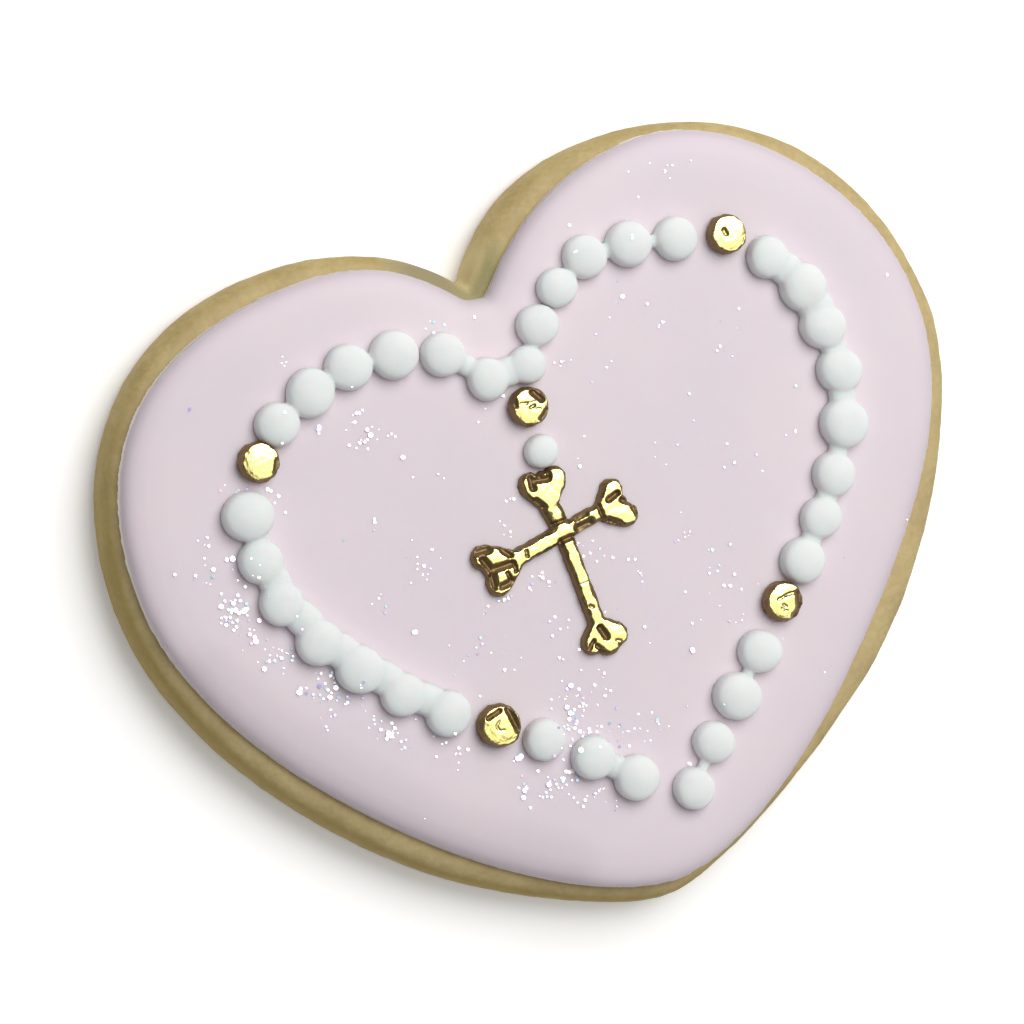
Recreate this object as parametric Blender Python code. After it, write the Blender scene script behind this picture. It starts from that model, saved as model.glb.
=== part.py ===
"""Iced sugar cookie: a heart biscuit, flooded icing, a rosary of piped dots and a small piped cross.

The heart lies flat, its notch towards +Y and its point towards -Y, on z = 0. Sizes below are in
millimetres and become metres when a solid is made. Each dot is piped by hand, so the strands are
given as a smooth route, and the dots follow one another along it with their own sizes and gaps.
"""

import math
from collections import namedtuple

import bmesh
import bpy
from mathutils import Vector
from mathutils.geometry import interpolate_bezier

MM = 0.001
SHARP_CORNER = math.radians(50)

# ---------------------------------------------------------------- driving sizes, in millimetres

BISCUIT_THICKNESS = 7.0
ICING_THICKNESS = 2.0
PIECE_GAP = 0.3
BISCUIT_POINTS = 116
ICING_POINTS = 118

# A heart outline runs clockwise through its knots, seen from above. A knot has a place, the headings
# in which the outline arrives and leaves, in degrees from +X, and the pull of both its handles.
Knot = namedtuple("Knot", "x y arrive leave pull_in pull_out")

BISCUIT_OUTLINE = (
    Knot(-0.5, 27.8, -53, 55, 5.0, 5.8),
    Knot(17.2, 37.0, 1, 1, 9.7, 15.4),
    Knot(45.8, 10.0, -86, -86, 17.0, 11.4),
    Knot(25.2, -24.9, -145, -145, 12.0, 10.3),
    Knot(-1.6, -37.6, 186, 186, 7.0, 4.6),
    Knot(-25.6, -25.3, 138, 138, 8.6, 12.5),
    Knot(-44.7, 10.8, 88, 88, 14.0, 15.3),
    Knot(-19.7, 36.1, 0, 0, 14.4, 10.4),
)

ICING_OUTLINE = (
    Knot(0.4, 26.2, 20, 38, 1.8, 1.5),
    Knot(4.7, 30.2, 39, 39, 3.1, 4.1),
    Knot(20.4, 35.8, 2, 2, 7.7, 10.5),
    Knot(43.6, 10.0, -89, -89, 13.8, 12.0),
    Knot(23.7, -22.3, -137, -137, 14.2, 10.2),
    Knot(-1.7, -35.9, 178, 178, 7.5, 6.2),
    Knot(-24.6, -22.7, 136, 136, 9.3, 12.0),
    Knot(-43.1, 10.9, 89, 89, 12.6, 14.6),
    Knot(-20.3, 34.1, 4, 4, 14.6, 9.2),
    Knot(-3.7, 28.9, -44, -44, 4.8, 2.8),
)

# Edge profiles from the bottom upwards: how far inside the outline, and how high.
BISCUIT_PROFILE = (
    (1.9, 0.0), (0.7, 0.15), (0.15, 0.8), (0.0, 2.2), (0.1, 4.4),
    (0.45, 5.7), (1.15, 6.55), (2.3, 7.0),
)
ICING_PROFILE = (
    (0.25, 0.0), (0.0, 0.35), (0.12, 0.85), (0.5, 1.3),
    (1.2, 1.65), (2.4, 1.88), (4.2, 2.0),
)

# Dots: the dome's reach and height at each ring, as shares of its radius and its rise. A rise is a
# share of the dot's diameter. A pearl is slightly oval, and a bead's top is folded in one swirl.
DOME_PROFILE = ((0.93, 0.0), (1.0, 0.28), (0.88, 0.68), (0.54, 0.93))
PEARL_SIDES = 12
PEARL_RISE = 0.42
PEARL_OVAL = 0.035
BEAD_SIDES = 16
BEAD_RISE = 0.40
BEAD_TIP = 0.9
BEAD_LOBES = 3
BEAD_LOBE_DEPTH = 0.03
BEAD_SWIRL_TURN = 3.5
BEAD_SWIRL_DEPTH = 0.09

# Each dot is turned by its own angle, in radians for each millimetre of its place.
PEARL_LEAN = Vector((0.7, 0.4, 0.0))
BEAD_LEAN = Vector((0.9, -0.3, 0.0))

# A strand is a list of dots, each with its kind, its diameter and the gap before it.
Dot = namedtuple("Dot", "kind size gap")
PEARL = "pearl"
GOLD = "gold"

JOIN_PLACE = (1.5, 18.4)
JOIN_SIZE = 3.8

LEFT_ROUTE = (
    JOIN_PLACE, (-2.8, 18.5), (-6.2, 22.4), (-10.9, 24.1), (-15.7, 24.6), (-20.2, 23.6), (-25.6, 21.0),
    (-30.4, 14.5), (-30.3, 5.3), (-28.1, 0.3), (-22.0, -7.6), (-18.4, -11.0), (-13.9, -14.0),
    (-5.9, -20.8), (-1.6, -25.2),
)
LEFT_STRAND = (
    Dot(PEARL, 4.2, 0.3), Dot(PEARL, 4.4, 0.9), Dot(PEARL, 4.8, 0.4), Dot(PEARL, 4.6, 0.1),
    Dot(PEARL, 4.8, -0.1), Dot(PEARL, 4.4, 0.0), Dot(GOLD, 4.1, -0.1), Dot(PEARL, 5.0, 0.8),
    Dot(PEARL, 4.4, -0.1), Dot(PEARL, 4.4, 0.2), Dot(PEARL, 4.6, 0.9), Dot(PEARL, 4.8, 0.2),
    Dot(PEARL, 4.4, 0.5), Dot(PEARL, 4.6, 0.5), Dot(GOLD, 4.4, 0.8), Dot(PEARL, 4.2, 0.7),
    Dot(PEARL, 4.4, 1.1), Dot(PEARL, 4.6, 0.5),
)

RIGHT_ROUTE = (
    JOIN_PLACE, (3.9, 21.7), (11.0, 26.4), (20.6, 24.8), (25.9, 23.4), (29.1, 19.7), (31.6, 15.4),
    (32.2, 6.3), (30.7, 1.1), (24.9, -7.0), (17.9, -13.5), (13.9, -17.3), (6.1, -24.0), (1.8, -28.3),
)
RIGHT_STRAND = (
    Dot(PEARL, 4.2, 0.1), Dot(PEARL, 4.0, 0.2), Dot(PEARL, 4.4, 0.0), Dot(PEARL, 4.6, 0.3),
    Dot(PEARL, 4.4, 0.5), Dot(GOLD, 4.0, 1.2), Dot(PEARL, 4.2, 0.8), Dot(PEARL, 4.8, 0.3),
    Dot(PEARL, 4.6, -0.2), Dot(PEARL, 4.6, 0.2), Dot(PEARL, 5.0, 0.6), Dot(PEARL, 4.4, 0.6),
    Dot(PEARL, 4.2, 0.3), Dot(PEARL, 4.6, 0.4), Dot(GOLD, 4.1, 0.3), Dot(PEARL, 4.4, 1.3),
    Dot(PEARL, 4.8, 0.5), Dot(PEARL, 4.2, 0.7), Dot(PEARL, 4.2, 0.9),
)

PENDANT_ROUTE = (JOIN_PLACE, (0.1, 14.4), (-0.2, 9.4))
PENDANT_STRAND = (Dot(GOLD, 4.0, 0.3), Dot(PEARL, 3.4, 0.9))

# The cross is one piped piece: straight strokes, and at each of its four ends a bud of two lobes with
# a shorter drop between them.
# A stroke has its two ends, its width at each end and its height.
Stroke = namedtuple("Stroke", "start end start_width end_width height")

STROKE_HEIGHT = 1.0
DROP_HEIGHT = 1.25
STROKE_STATIONS = 7
SECTION_POINTS = 7

# How soon after its end a stroke has its first section, in stations, and how fast it rises there.
FIRST_STATION = 0.35
END_RISE = 0.7
CROSS_STROKES = (
    Stroke((-0.9, 1.4), (-0.8, -8.8), 1.8, 1.8, STROKE_HEIGHT),
    Stroke((-7.2, 0.7), (4.2, 2.2), 1.9, 1.7, STROKE_HEIGHT * 1.06),
    Stroke((-1.4, 5.4), (-0.8, 1.2), 2.3, 2.0, STROKE_HEIGHT * 0.94),
)
CROSS_DROPS = (
    Stroke((-2.3, 6.9), (-1.4, 5.1), 3.0, 2.1, DROP_HEIGHT),
    Stroke((-1.0, 6.6), (-1.3, 5.2), 2.9, 2.2, DROP_HEIGHT * 0.92),
    Stroke((0.0, 6.7), (-1.2, 5.0), 3.0, 2.1, DROP_HEIGHT * 1.03),
    Stroke((5.1, 3.4), (3.8, 2.1), 3.0, 1.9, DROP_HEIGHT),
    Stroke((5.1, 2.2), (3.8, 2.0), 2.7, 2.0, DROP_HEIGHT * 0.92),
    Stroke((5.7, 0.9), (3.6, 2.0), 3.0, 1.9, DROP_HEIGHT * 0.97),
    Stroke((-9.3, 2.0), (-6.8, 0.8), 3.1, 2.0, DROP_HEIGHT),
    Stroke((-8.7, 0.8), (-6.9, 0.8), 2.8, 2.1, DROP_HEIGHT * 0.92),
    Stroke((-8.7, -0.7), (-6.6, 0.8), 3.2, 2.0, DROP_HEIGHT * 1.04),
    Stroke((0.4, -9.8), (-0.8, -8.7), 3.0, 2.1, DROP_HEIGHT),
    Stroke((-0.5, -10.4), (-0.8, -8.9), 2.8, 2.2, DROP_HEIGHT * 0.92),
    Stroke((-1.8, -9.8), (-0.8, -8.7), 2.9, 2.1, DROP_HEIGHT * 1.02),
)

ICING_BASE = BISCUIT_THICKNESS + PIECE_GAP
DOT_BASE = ICING_BASE + ICING_THICKNESS + PIECE_GAP


# ---------------------------------------------------------------- materials

def finish(name, colour, roughness, metallic=0.0):
    """A plain Principled material with its colour, roughness and metallic value."""
    material = bpy.data.materials.new(name)
    material.use_nodes = True
    shader = material.node_tree.nodes["Principled BSDF"]
    shader.inputs["Base Color"].default_value = (*colour, 1.0)
    shader.inputs["Roughness"].default_value = roughness
    shader.inputs["Metallic"].default_value = metallic
    material.diffuse_color = (*colour, 1.0)
    return material


# ---------------------------------------------------------------- outlines and routes

def heading(degrees, length):
    """A flat step of the given length in a compass direction measured from +X."""
    turn = math.radians(degrees)
    return Vector((length * math.cos(turn), length * math.sin(turn), 0.0))


def knot_curve(knots, steps=24):
    """The closed curve through the knots, as closely spaced points."""
    points = []
    for here, after in zip(knots, knots[1:] + knots[:1]):
        start = Vector((here.x, here.y, 0.0))
        end = Vector((after.x, after.y, 0.0))
        pull_out = start + heading(here.leave, here.pull_out)
        pull_in = end - heading(after.arrive, after.pull_in)
        points += interpolate_bezier(start, pull_out, pull_in, end, steps + 1)[:-1]
    return points


def route_curve(places, steps=40):
    """The open curve that passes smoothly through a strand's places."""
    stops = [Vector((x, y, 0.0)) for x, y in places]
    before = [2 * stops[0] - stops[1]] + stops[:-1]
    after = stops[1:] + [2 * stops[-1] - stops[-2]]
    pulls = [(late - early) / 6 for early, late in zip(before, after)]
    points = []
    for index in range(len(stops) - 1):
        start = stops[index]
        end = stops[index + 1]
        points += interpolate_bezier(start, start + pulls[index], end - pulls[index + 1], end, steps)[:-1]
    return points + [stops[-1]]


def even_loop(points, count):
    """The same closed curve as a given number of evenly spaced points, from its first one on."""
    closed = points + points[:1]
    lengths = [0.0]
    for start, end in zip(closed, closed[1:]):
        lengths.append(lengths[-1] + (end - start).length)
    loop = []
    span = 0
    for step in range(count):
        target = lengths[-1] * step / count
        while lengths[span + 1] < target:
            span += 1
        share = (target - lengths[span]) / (lengths[span + 1] - lengths[span])
        loop.append(closed[span].lerp(closed[span + 1], share))
    return loop


def inset_loop(loop, distance, height):
    """A clockwise loop moved inwards by a distance and lifted to a height."""
    moved = []
    for index, point in enumerate(loop):
        along = loop[(index + 1) % len(loop)] - loop[index - 1]
        inwards = Vector((along.y, -along.x, 0.0)).normalized()
        moved.append(point + inwards * distance + Vector((0.0, 0.0, height)))
    return moved


# ---------------------------------------------------------------- solids

def new_object(name, mesh_maker, material):
    """A named object in the scene from a bmesh, in metres, with outward faces and crisp corners."""
    bmesh.ops.recalc_face_normals(mesh_maker, faces=mesh_maker.faces)
    bmesh.ops.scale(mesh_maker, vec=(MM, MM, MM), verts=mesh_maker.verts)
    mesh = bpy.data.meshes.new(name)
    mesh_maker.to_mesh(mesh)
    mesh_maker.free()
    mesh.materials.append(material)
    mesh.shade_smooth()
    mesh.set_sharp_from_angle(angle=SHARP_CORNER)
    piece = bpy.data.objects.new(name, mesh)
    bpy.context.scene.collection.objects.link(piece)
    return piece


def skin(rings, tip=None):
    """A closed bmesh over equal rings from the lowest to the highest, with a flat or a pointed top."""
    solid = bmesh.new()
    loops = [[solid.verts.new(point) for point in ring] for ring in rings]
    sides = len(loops[0])
    for lower, upper in zip(loops, loops[1:]):
        for here in range(sides):
            after = (here + 1) % sides
            solid.faces.new((lower[here], lower[after], upper[after], upper[here]))
    solid.faces.new(loops[0])
    if tip is None:
        solid.faces.new(loops[-1])
        return solid
    top = solid.verts.new(tip)
    for here in range(sides):
        solid.faces.new((loops[-1][here], loops[-1][(here + 1) % sides], top))
    return solid


def heart_slab(name, knots, count, profile, base, material):
    """A heart-shaped slab whose edge follows a profile."""
    loop = even_loop(knot_curve(knots), count)
    rings = [inset_loop(loop, inset, base + height) for inset, height in profile]
    return new_object(name, skin(rings), material)


# ---------------------------------------------------------------- piped dots

def walk(route, start_size, dots):
    """The centres of a strand's dots: each is its gap and both radii away from the one before."""
    points = route_curve(route)
    place = points[0]
    size = start_size
    index = 1
    centres = []
    for dot in dots:
        stride = (size + dot.size) / 2 + dot.gap
        while index < len(points) - 1 and (points[index] - place).length < stride:
            index += 1
        place = place + (points[index] - place).normalized() * stride
        size = dot.size
        centres.append(place)
    return centres


def strand_dots(route, dots, label, bead_names):
    """A strand's dots as name, kind, centre and size, the pearls numbered from the join on."""
    named = []
    count = 0
    for dot, centre in zip(dots, walk(route, JOIN_SIZE, dots)):
        if dot.kind == GOLD:
            name = next(bead_names)
        else:
            count += 1
            name = f"pearl_{label}_{count:02d}"
        named.append((name, dot.kind, centre, dot.size))
    return named


def all_dots():
    """Every dot of the rosary: the join, the two strands and the pendant."""
    bead_names = iter([f"gold_bead_{number}" for number in range(1, 6)])
    join = Vector((*JOIN_PLACE, 0.0))
    dots = [("pearl_join", PEARL, join, JOIN_SIZE)]
    dots += strand_dots(LEFT_ROUTE, LEFT_STRAND, "left", bead_names)
    dots += strand_dots(RIGHT_ROUTE, RIGHT_STRAND, "right", bead_names)
    dots += strand_dots(PENDANT_ROUTE, PENDANT_STRAND, "pendant", bead_names)
    return dots


def dot_reach(angle, radius, fences):
    """How far a dot reaches at an angle: its radius, or less where a neighbour is too near."""
    reach = radius
    for direction, limit in fences:
        facing = math.cos(angle - direction)
        if facing * reach > limit:
            reach = limit / facing
    return reach


def neighbour_fences(centre, size, dots):
    """The direction of each close neighbour, and how far this dot may reach towards it."""
    fences = []
    for _, _, other, other_size in dots:
        apart = other - centre
        distance = apart.length
        if 0.0 < distance < (size + other_size) / 2 + PIECE_GAP:
            share = (distance + (size - other_size) / 2) / 2 - PIECE_GAP / 2
            fences.append((math.atan2(apart.y, apart.x), share))
    return fences


def dome_rings(centre, radius, rise, sides, fences, shape):
    """The rings of a piped dome; shape changes its reach and height at an angle and a level."""
    rings = []
    for reach_share, height_share in DOME_PROFILE:
        ring = []
        for side in range(sides):
            angle = 2 * math.pi * side / sides
            wider, higher = shape(angle, reach_share, height_share)
            reach = dot_reach(angle, radius * reach_share * wider, fences)
            outwards = Vector((math.cos(angle), math.sin(angle), 0.0))
            ring.append(centre + outwards * reach + Vector((0.0, 0.0, DOT_BASE + rise * higher)))
        rings.append(ring)
    return rings


def pearl(name, centre, size, dots, material):
    """A white dot: a smooth dome, very slightly oval."""
    lean = centre.dot(PEARL_LEAN)

    def shape(angle, reach_share, height_share):
        return 1.0 + PEARL_OVAL * math.cos(2 * (angle - lean)), height_share

    radius = size / 2
    rise = size * PEARL_RISE
    fences = neighbour_fences(centre, size, dots)
    rings = dome_rings(centre, radius, rise, PEARL_SIDES, fences, shape)
    tip = centre + Vector((0.0, 0.0, DOT_BASE + rise))
    return new_object(name, skin(rings, tip), material)


def gold_bead(name, centre, size, dots, material):
    """A gold dot: a low dome whose top is folded in one swirl."""
    lean = centre.dot(BEAD_LEAN)

    def shape(angle, reach_share, height_share):
        swirl = math.cos(angle - lean - BEAD_SWIRL_TURN * (1.0 - reach_share))
        lobes = math.cos(BEAD_LOBES * angle + lean)
        wider = 1.0 + BEAD_LOBE_DEPTH * lobes
        higher = height_share * (1.0 + BEAD_SWIRL_DEPTH * swirl)
        return wider, higher

    radius = size / 2
    rise = size * BEAD_RISE
    fences = neighbour_fences(centre, size, dots)
    rings = dome_rings(centre, radius, rise, BEAD_SIDES, fences, shape)
    tip = centre + Vector((0.0, 0.0, DOT_BASE + rise * BEAD_TIP))
    return new_object(name, skin(rings, tip), material)


# ---------------------------------------------------------------- piped cross

def stroke_solid(stroke):
    """One piped stroke: a half-round section swept from end to end, with rounded ends."""
    start = Vector((*stroke.start, DOT_BASE))
    end = Vector((*stroke.end, DOT_BASE))
    along = (end - start).normalized()
    across = Vector((-along.y, along.x, 0.0))
    start_radius = stroke.start_width / 2
    end_radius = stroke.end_width / 2
    reach = (end - start).length + start_radius + end_radius
    span = STROKE_STATIONS - 1 + 2 * FIRST_STATION
    rings = []
    for station in range(STROKE_STATIONS):
        # the stations crowd towards the ends, where the stroke rounds off
        share = (1 - math.cos(math.pi * (station + FIRST_STATION) / span)) / 2
        radius = start_radius + (end_radius - start_radius) * share
        place = start + along * (share * reach - start_radius)
        from_end = min(share * reach / start_radius, (1 - share) * reach / end_radius, 1.0)
        fullness = math.sqrt(1 - (1 - from_end) ** 2)
        ring = []
        for step in range(SECTION_POINTS):
            turn = math.pi * step / (SECTION_POINTS - 1)
            sideways = across * (math.cos(turn) * fullness * radius)
            upwards = Vector((0.0, 0.0, math.sin(turn) * fullness ** END_RISE * stroke.height))
            ring.append(place + sideways + upwards)
        rings.append(ring)
    return skin(rings)


def piped_cross(material):
    """The cross: all its strokes and teardrops joined into one solid."""
    others = bpy.data.collections.new("cross_strokes")
    bpy.context.scene.collection.children.link(others)
    strokes = CROSS_STROKES + CROSS_DROPS
    cross = new_object("cross", stroke_solid(strokes[0]), material)
    for number, stroke in enumerate(strokes[1:], start=1):
        piece = new_object(f"cross_stroke_{number}", stroke_solid(stroke), material)
        bpy.context.scene.collection.objects.unlink(piece)
        others.objects.link(piece)
        piece.hide_render = True
        piece.display_type = "WIRE"
    union = cross.modifiers.new("joined strokes", "BOOLEAN")
    union.operation = "UNION"
    union.operand_type = "COLLECTION"
    union.collection = others
    return cross


# ---------------------------------------------------------------- the cookie

def build_cookie():
    biscuit_finish = finish("baked biscuit", (0.46, 0.33, 0.16), 0.75)
    icing_finish = finish("pale pink icing", (0.78, 0.69, 0.72), 0.40)
    pearl_finish = finish("white piping", (0.82, 0.84, 0.82), 0.45)
    gold_finish = finish("gold lustre", (0.80, 0.58, 0.20), 0.25, metallic=1.0)

    heart_slab("biscuit", BISCUIT_OUTLINE, BISCUIT_POINTS, BISCUIT_PROFILE, 0.0, biscuit_finish)
    heart_slab("icing", ICING_OUTLINE, ICING_POINTS, ICING_PROFILE, ICING_BASE, icing_finish)
    dots = all_dots()
    for name, kind, centre, size in dots:
        if kind == GOLD:
            gold_bead(name, centre, size, dots, gold_finish)
        else:
            pearl(name, centre, size, dots, pearl_finish)
    piped_cross(gold_finish)


for leftover in list(bpy.data.objects):
    bpy.data.objects.remove(leftover)
build_cookie()
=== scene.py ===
"""The looks of the iced sugar cookie: baked biscuit, flooded icing, piped pearls, gold and glitter.

Sizes are in millimetres and become metres when a piece is made. +Y runs from the heart's point to its
notch, and +Z is up. Each piece starts from a primitive or from a copy of a solid of the frame.
"""

import math
import random
from collections import namedtuple

import bmesh
import bpy
from mathutils import Matrix, Vector
from mathutils.bvhtree import BVHTree


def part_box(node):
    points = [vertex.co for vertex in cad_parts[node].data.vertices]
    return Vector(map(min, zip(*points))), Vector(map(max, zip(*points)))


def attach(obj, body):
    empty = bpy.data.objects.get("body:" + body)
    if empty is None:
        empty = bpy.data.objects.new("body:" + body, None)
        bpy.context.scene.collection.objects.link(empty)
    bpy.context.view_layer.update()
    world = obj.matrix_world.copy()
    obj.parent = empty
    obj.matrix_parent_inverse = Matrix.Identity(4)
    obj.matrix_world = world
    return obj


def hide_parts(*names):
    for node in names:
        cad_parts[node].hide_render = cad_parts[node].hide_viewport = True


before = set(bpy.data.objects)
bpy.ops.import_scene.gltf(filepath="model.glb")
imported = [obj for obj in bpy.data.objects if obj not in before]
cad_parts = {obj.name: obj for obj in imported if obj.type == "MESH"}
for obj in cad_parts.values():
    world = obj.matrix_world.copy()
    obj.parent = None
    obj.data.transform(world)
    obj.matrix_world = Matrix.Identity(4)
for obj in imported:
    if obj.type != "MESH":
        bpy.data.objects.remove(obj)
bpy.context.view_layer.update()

MM = 0.001
BODY = "root"

# ---------------------------------------------------------------- driving sizes, in millimetres

BISCUIT_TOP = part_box("biscuit")[1].z / MM
ICING_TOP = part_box("icing")[1].z / MM
ICING_FOOT = BISCUIT_TOP - 0.45
PIPING_FOOT = ICING_TOP - 0.08

PEARL_RISE_SHARE = 0.42


# ---------------------------------------------------------------- working by hand

def mm(*numbers):
    """A place or a size in metres from millimetres."""
    return Vector(numbers) * MM


def take(piece):
    """Only this piece is selected, and it is the active one."""
    bpy.ops.object.select_all(action="DESELECT")
    piece.select_set(True)
    bpy.context.view_layer.objects.active = piece


def open_piece(piece):
    """The piece in edit mode, with points to select."""
    take(piece)
    bpy.ops.object.mode_set(mode="EDIT")
    bpy.ops.mesh.select_mode(type="VERT")


def close_piece():
    bpy.ops.object.mode_set(mode="OBJECT")


def select_points(piece, wanted):
    """In edit mode, selects the points whose place passes the test, and says how many there are."""
    shape = bmesh.from_edit_mesh(piece.data)
    for vert in shape.verts:
        vert.select = wanted(vert.co)
    shape.select_flush_mode()
    bmesh.update_edit_mesh(piece.data)
    return sum(vert.select for vert in shape.verts)


def apply_modifier(piece, kind, **settings):
    """Adds one modifier with its settings and applies it."""
    take(piece)
    modifier = piece.modifiers.new(kind.lower(), kind)
    for setting, value in settings.items():
        setattr(modifier, setting, value)
    bpy.ops.object.modifier_apply(modifier=modifier.name)


def even_skin(piece, voxel, smoothing):
    """One closed, even skin over all the shapes in a piece, its creases softened."""
    apply_modifier(piece, "REMESH", mode="VOXEL", voxel_size=voxel * MM, use_smooth_shade=True)
    apply_modifier(piece, "SMOOTH", factor=0.5, iterations=smoothing)


def press_line(piece, places, near, level, depth, falloff, reach):
    """Presses the skin down along a chain of places, above a level; the skin around it follows."""
    def on_line(place):
        if place.z < level * MM:
            return False
        for start, end in zip(places, places[1:]):
            along = end - start
            share = min(max((place.xy - start).dot(along) / along.length_squared, 0.0), 1.0)
            if (place.xy - start - along * share).length < near * MM:
                return True
        return False

    open_piece(piece)
    if select_points(piece, on_line):
        bpy.ops.transform.translate(
            value=(0.0, 0.0, -depth * MM), use_proportional_edit=True,
            proportional_edit_falloff=falloff, proportional_size=reach * MM,
        )
    close_piece()


def ripple(piece, kind, size, depth):
    """Raises and lowers a piece's skin along its normals by a procedural pattern of a given size."""
    pattern = bpy.data.textures.new(f"{piece.name}_{kind.lower()}", kind)
    pattern.noise_scale = size * MM
    apply_modifier(piece, "DISPLACE", texture=pattern, texture_coords="LOCAL", strength=depth * MM, mid_level=0.5)


def copy_solid(node, name):
    """A new piece from a copy of a frame node's mesh, its loose triangles merged."""
    piece = bpy.data.objects.new(name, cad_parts[node].data.copy())
    bpy.context.scene.collection.objects.link(piece)
    open_piece(piece)
    bpy.ops.mesh.select_all(action="SELECT")
    bpy.ops.mesh.remove_doubles(threshold=0.002 * MM)
    close_piece()
    return piece


def copy_shape(master, moved):
    """A copy of a master shape with its own mesh, moved into place within that mesh."""
    mesh = master.data.copy()
    mesh.transform(moved)
    piece = bpy.data.objects.new(master.name, mesh)
    bpy.context.scene.collection.objects.link(piece)
    return piece


def join_shapes(name, shapes):
    """All the shapes as one piece."""
    take(shapes[0])
    for shape in shapes[1:]:
        shape.select_set(True)
    bpy.ops.object.join()
    shapes[0].name = name
    shapes[0].data.name = name
    return shapes[0]


def finish_piece(piece, material, nodes=()):
    """The piece gets its one material, rides on the cookie and stands for its nodes."""
    piece.data.materials.clear()
    piece.data.materials.append(material)
    take(piece)
    bpy.ops.object.shade_smooth()
    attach(piece, BODY)
    if nodes:
        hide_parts(*nodes)
    return piece


# ---------------------------------------------------------------- camera, light and floor

AIM = mm(-4.41, 5.01, 7.0)
CAMERA_DISTANCE = 450.0
CAMERA_OFF_VERTICAL = math.radians(16)
PICTURE_TURN = math.radians(21)
FIELD_WIDTH = 102.4


def slanted(off_vertical, bearing):
    """A direction up from the cookie: its angle from the vertical and its bearing from +X."""
    flat = math.sin(off_vertical)
    return Vector((flat * math.cos(bearing), flat * math.sin(bearing), math.cos(off_vertical)))


def aimed(place, upwards):
    """Where something stands that looks from a place at the aim, with a direction as its up."""
    back = (place - AIM).normalized()
    right = upwards.cross(back).normalized()
    turned = Matrix((right, back.cross(right), back)).transposed().to_4x4()
    return Matrix.Translation(place) @ turned


def set_camera():
    camera = bpy.data.cameras.new("camera")
    camera.sensor_width = 36.0
    camera.lens = camera.sensor_width * CAMERA_DISTANCE / FIELD_WIDTH
    camera.clip_start = 0.01
    holder = bpy.data.objects.new("camera", camera)
    bpy.context.scene.collection.objects.link(holder)
    place = AIM + slanted(CAMERA_OFF_VERTICAL, math.pi - PICTURE_TURN) * CAMERA_DISTANCE * MM
    picture_up = Vector((math.sin(PICTURE_TURN), math.cos(PICTURE_TURN), 0.0))
    holder.matrix_world = aimed(place, picture_up)
    bpy.context.scene.camera = holder


def add_softbox(name, off_vertical, bearing, distance, size, radiance, colour):
    """A round softbox; its bearing is counted from the picture's right-hand side."""
    lamp = bpy.data.lights.new(name, "AREA")
    lamp.shape = "DISK"
    lamp.size = size * MM
    lamp.energy = radiance * math.pi * math.pi * (size * MM / 2) ** 2
    lamp.color = colour
    holder = bpy.data.objects.new(name, lamp)
    bpy.context.scene.collection.objects.link(holder)
    place = AIM + slanted(math.radians(off_vertical), math.radians(bearing) - PICTURE_TURN) * distance * MM
    holder.matrix_world = aimed(place, Vector((0.0, 1.0, 0.0)))


KEY_OFF_VERTICAL = 30
KEY_BEARING = 62


def set_light():
    add_softbox("key softbox", KEY_OFF_VERTICAL, KEY_BEARING, 700, 560, 5.0, (1.0, 0.985, 0.96))
    add_softbox("overhead panel", 17, 0, 700, 560, 1.2, (1.0, 1.0, 0.98))
    world = bpy.data.worlds.new("studio")
    world.use_nodes = True
    backdrop = world.node_tree.nodes["Background"]
    backdrop.inputs["Color"].default_value = (0.93, 0.95, 1.0, 1.0)
    backdrop.inputs["Strength"].default_value = 0.20
    bpy.context.scene.world = world
    bpy.context.scene.view_settings.view_transform = "Standard"


def lay_floor():
    bpy.ops.object.select_all(action="DESELECT")
    bpy.ops.mesh.primitive_plane_add(size=3.0, location=(0.0, 0.0, 0.0))
    floor = bpy.context.active_object
    floor.name = "floor"
    material = bpy.data.materials.new("pale floor")
    material.use_nodes = True
    shader = material.node_tree.nodes["Principled BSDF"]
    shader.inputs["Base Color"].default_value = (0.98, 0.98, 0.98, 1.0)
    shader.inputs["Roughness"].default_value = 0.8
    shader.inputs["Emission Color"].default_value = (1.0, 1.0, 1.0, 1.0)
    shader.inputs["Emission Strength"].default_value = 0.20
    floor.data.materials.append(material)


# ---------------------------------------------------------------- materials

def add_node(tree, kind, links=None, **settings):
    """A shader node with its settings; links gives each input a number, a colour or a socket."""
    node = tree.nodes.new(kind)
    for setting, value in settings.items():
        setattr(node, setting, value)
    for name, value in (links or {}).items():
        if isinstance(value, bpy.types.NodeSocket):
            tree.links.new(value, node.inputs[name])
        else:
            node.inputs[name].default_value = value
    return node


def new_group(name, inputs, outputs):
    """An empty node group; inputs are (name, kind, value) and outputs (name, kind)."""
    group = bpy.data.node_groups.new(name, "ShaderNodeTree")
    for label, kind, value in inputs:
        socket = group.interface.new_socket(label, in_out="INPUT", socket_type=kind)
        if value is not None:
            socket.default_value = value
    for label, kind in outputs:
        group.interface.new_socket(label, in_out="OUTPUT", socket_type=kind)
    entry = group.nodes.new("NodeGroupInput")
    leave = group.nodes.new("NodeGroupOutput")
    return group, entry.outputs, leave.inputs


def between(tree, value, low, high, out_low=0.0, out_high=1.0):
    """A value eased from one range onto another."""
    ranges = {"Value": value, "From Min": low, "From Max": high, "To Min": out_low, "To Max": out_high}
    return add_node(tree, "ShaderNodeMapRange", ranges, interpolation_type="SMOOTHSTEP").outputs["Result"]


def math_node(tree, operation, first, second):
    node = add_node(tree, "ShaderNodeMath", operation=operation)
    for socket, value in zip(node.inputs, (first, second)):
        if isinstance(value, bpy.types.NodeSocket):
            tree.links.new(value, socket)
        else:
            socket.default_value = value
    return node.outputs["Value"]


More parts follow.
